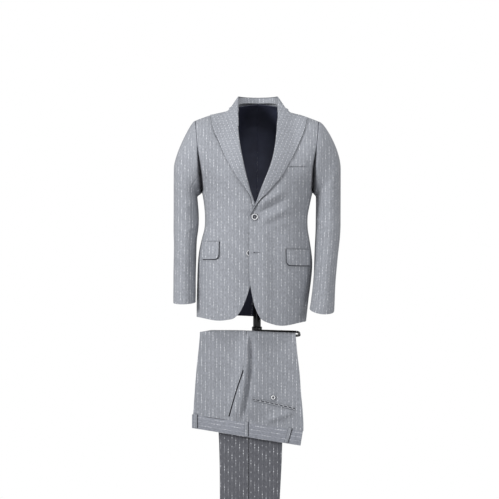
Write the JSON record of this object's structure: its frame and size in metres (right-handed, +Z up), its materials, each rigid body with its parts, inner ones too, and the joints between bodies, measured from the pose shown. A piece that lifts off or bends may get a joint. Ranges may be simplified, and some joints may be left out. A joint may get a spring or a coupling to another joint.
{
  "type": "two-piece suit with trouser rod",
  "caption": "Single-breasted peak-lapel jacket in its worn hollow form, with its trousers folded over a plain trouser rod on a short post.",
  "frame": {"origin": "base of the wearer's neck, in the plane of the shoulder seams, where the wearer holds the jacket up", "axes": "+Z up, -Y towards the front of the garment, +X towards the wearer's left"},
  "size_m": [0.5546, 0.2595, 1.5171],
  "materials": {
    "suit_cloth": "light blue-grey worsted with a broken white pin-stripe, matt",
    "trouser_cloth": "the same worsted, pressed",
    "buttons": "polished grey horn-like resin",
    "rod_enamel": "gloss black enamel"
  },
  "bodies": {
    "root": {"front_right": "suit_cloth", "side_right": "suit_cloth", "back_right": "suit_cloth", "lapel_right": "suit_cloth", "sleeve_right_top": "suit_cloth", "sleeve_right_under": "suit_cloth", "pocket_flap_right": "suit_cloth", "pocket_jet_right": "suit_cloth", "front_left": "suit_cloth", "side_left": "suit_cloth", "back_left": "suit_cloth", "lapel_left": "suit_cloth", "sleeve_left_top": "suit_cloth", "sleeve_left_under": "suit_cloth", "pocket_flap_left": "suit_cloth", "pocket_jet_left": "suit_cloth", "collar_fall": "suit_cloth", "collar_stand": "suit_cloth", "breast_welt": "suit_cloth", "front_button_1": "buttons", "front_button_2": "buttons", "cuff_button_right_1": "buttons", "cuff_button_right_2": "buttons", "cuff_button_right_3": "buttons", "cuff_button_right_4": "buttons", "cuff_button_left_1": "buttons", "cuff_button_left_2": "buttons", "cuff_button_left_3": "buttons", "cuff_button_left_4": "buttons", "leg_near_front": "trouser_cloth", "leg_near_back": "trouser_cloth", "leg_far_front": "trouser_cloth", "leg_far_back": "trouser_cloth", "waistband": "trouser_cloth", "belt_loop_1": "trouser_cloth", "belt_loop_2": "trouser_cloth", "belt_loop_3": "trouser_cloth", "belt_loop_4": "trouser_cloth", "belt_loop_5": "trouser_cloth", "slash_pocket_edge": "trouser_cloth", "back_pocket_jet_upper": "trouser_cloth", "back_pocket_jet_lower": "trouser_cloth", "back_pocket_button": "buttons", "trouser_rod": "rod_enamel", "rod_post": "rod_enamel", "rod_collar": "rod_enamel"}
  },
  "joints": []
}
